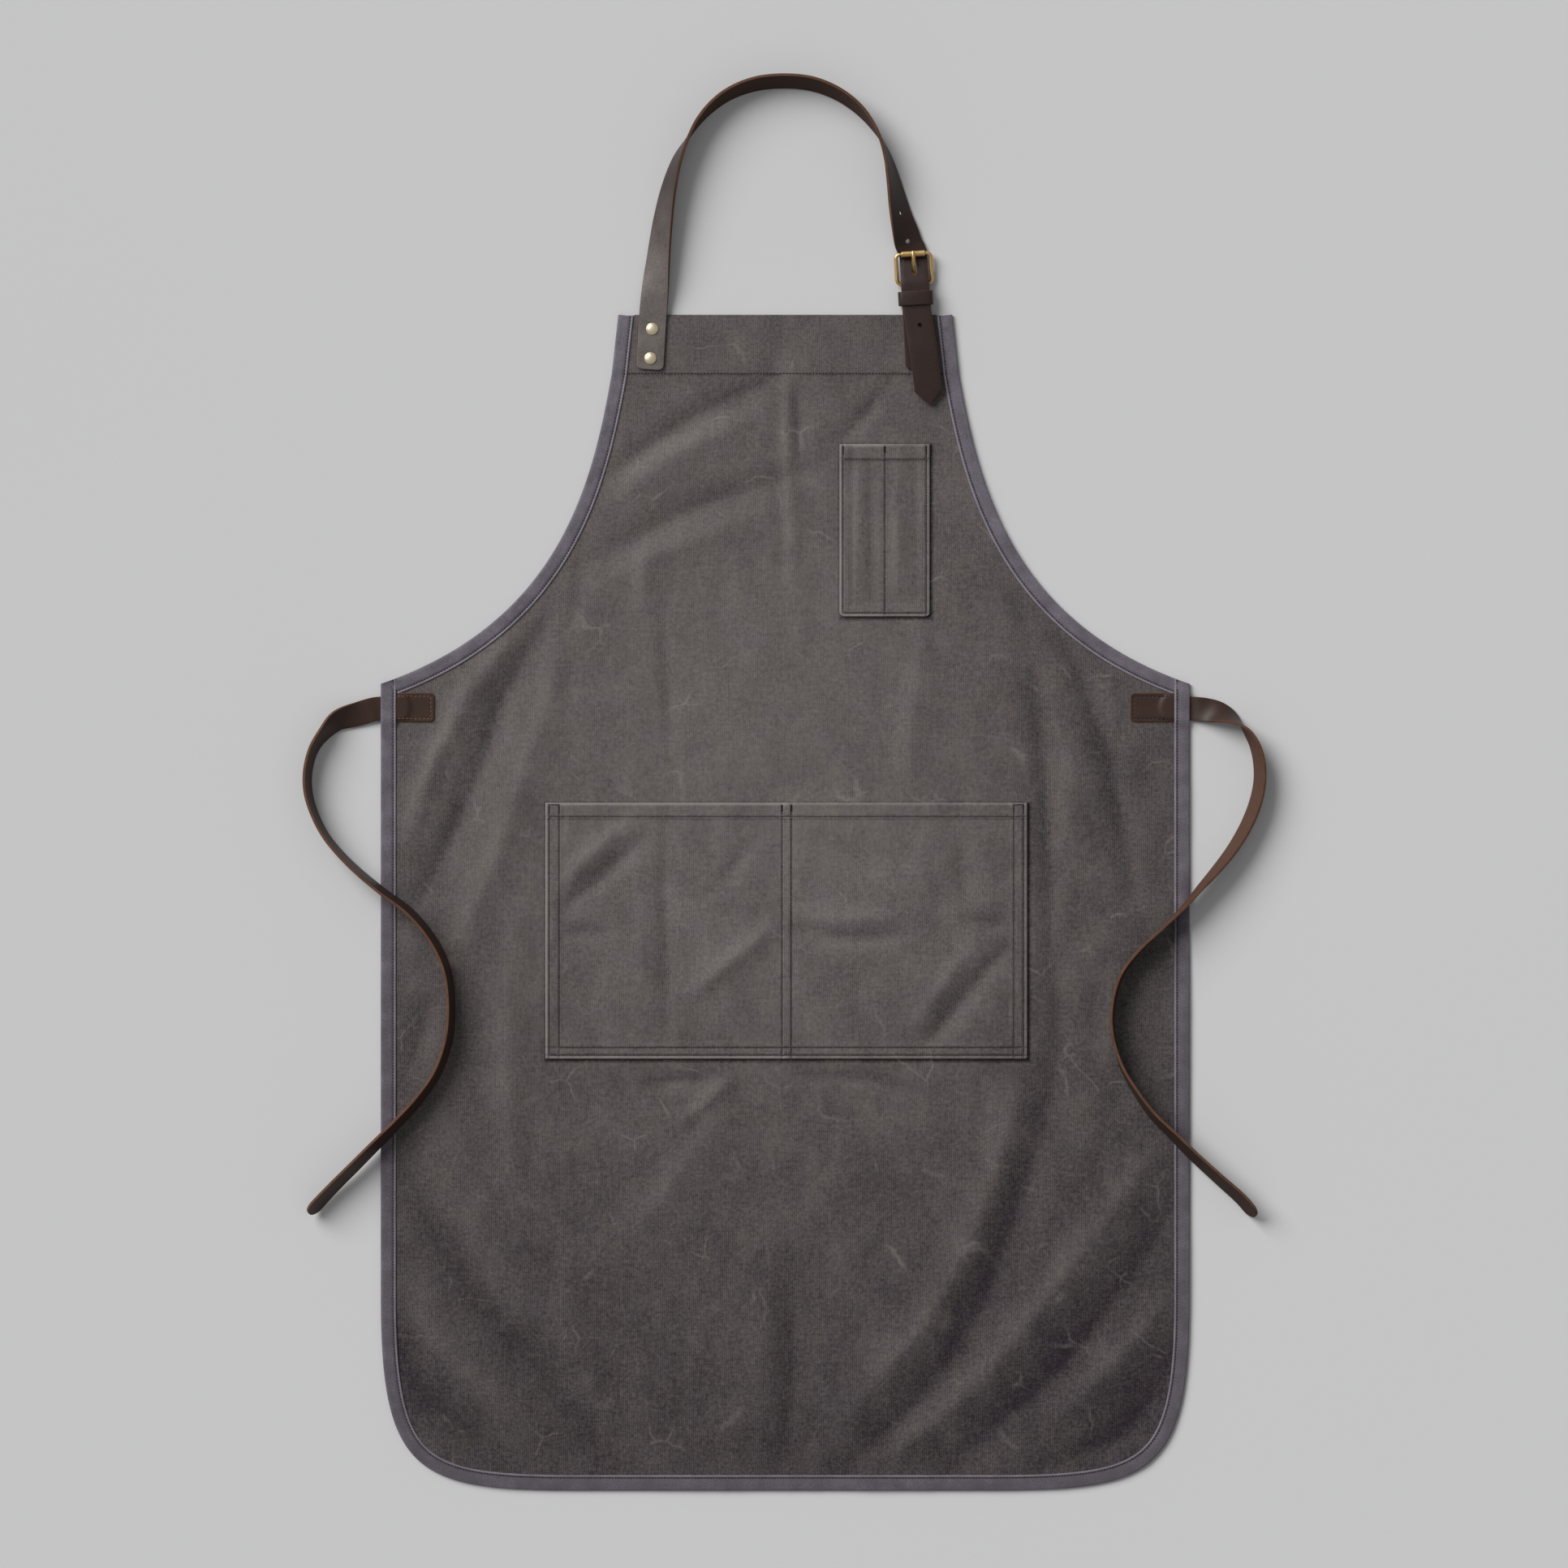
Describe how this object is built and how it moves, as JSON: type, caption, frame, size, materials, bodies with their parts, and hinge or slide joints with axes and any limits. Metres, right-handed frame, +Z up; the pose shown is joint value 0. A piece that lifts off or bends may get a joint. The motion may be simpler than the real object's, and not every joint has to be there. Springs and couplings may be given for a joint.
{
  "type": "butcher apron",
  "caption": "Waxed canvas butcher apron with bound edges, patch pockets, leather neck strap with a roller buckle and leather waist ties.",
  "frame": {"origin": "on the floor under the middle of the apron, its bindings and its neck strap, as it lies on its back", "axes": "+X to the right as it lies face up, +Y from the bottom hem to the neck strap, +Z up out of the front face"},
  "size_m": [0.8183, 1.2038, 0.0241],
  "materials": {
    "canvas": "waxed cotton canvas, dark olive grey, matte with faint scuffs",
    "pocket_canvas": "waxed cotton canvas, slightly paler, with dark stitching",
    "twill_tape": "folded cotton twill tape, purple grey",
    "strap_leather": "smooth dark brown leather, waxed, with a soft sheen and raw edges",
    "tie_leather": "brown leather with a suede back",
    "rivet_brass": "polished pale brass",
    "buckle_brass": "antique brass"
  },
  "bodies": {
    "root": {"body_panel": "canvas", "hand_pocket": "pocket_canvas", "chest_pocket": "pocket_canvas", "skirt_binding": "twill_tape", "bib_binding_left": "twill_tape", "bib_binding_right": "twill_tape", "armhole_binding_left": "twill_tape", "armhole_binding_right": "twill_tape", "neck_strap": "strap_leather", "buckle_chape": "strap_leather", "tie_tab_left": "tie_leather", "tie_tab_right": "tie_leather", "waist_tie_left": "tie_leather", "waist_tie_right": "tie_leather", "strap_rivet_first_post": "rivet_brass", "strap_rivet_first_cap": "rivet_brass", "strap_rivet_second_post": "rivet_brass", "strap_rivet_second_cap": "rivet_brass", "chape_rivet_first_post": "rivet_brass", "chape_rivet_first_cap": "rivet_brass", "chape_rivet_second_post": "rivet_brass", "chape_rivet_second_cap": "rivet_brass"},
    "frame": {"buckle_frame": "buckle_brass"},
    "roller": {"buckle_roller": "buckle_brass"},
    "prong": {"buckle_prong": "buckle_brass"},
    "keeper": {"strap_keeper": "strap_leather"}
  },
  "joints": [
    {"name": "buckle_tilt", "type": "hinge", "parent": "root", "child": "frame", "pos_m": [0.1102, 0.42437, 0.00415], "axis": [0.9984, 0.0558, 0], "range_deg": [0, 5]},
    {"name": "prong_lift", "type": "hinge", "parent": "frame", "child": "prong", "pos_m": [0.1102, 0.42437, 0.00415], "axis": [0.9984, 0.0558, 0], "range_deg": [0, 8]},
    {"name": "roller_spin", "type": "hinge", "parent": "frame", "child": "roller", "pos_m": [0.10879, 0.44961, 0.00655], "axis": [0.9984, 0.0558, 0], "continuous": true},
    {"name": "keeper_slide", "type": "slide", "parent": "root", "child": "keeper", "axis": [-0.0558, 0.9984, 0], "range_m": [-0.0065, 0.0015]}
  ]
}
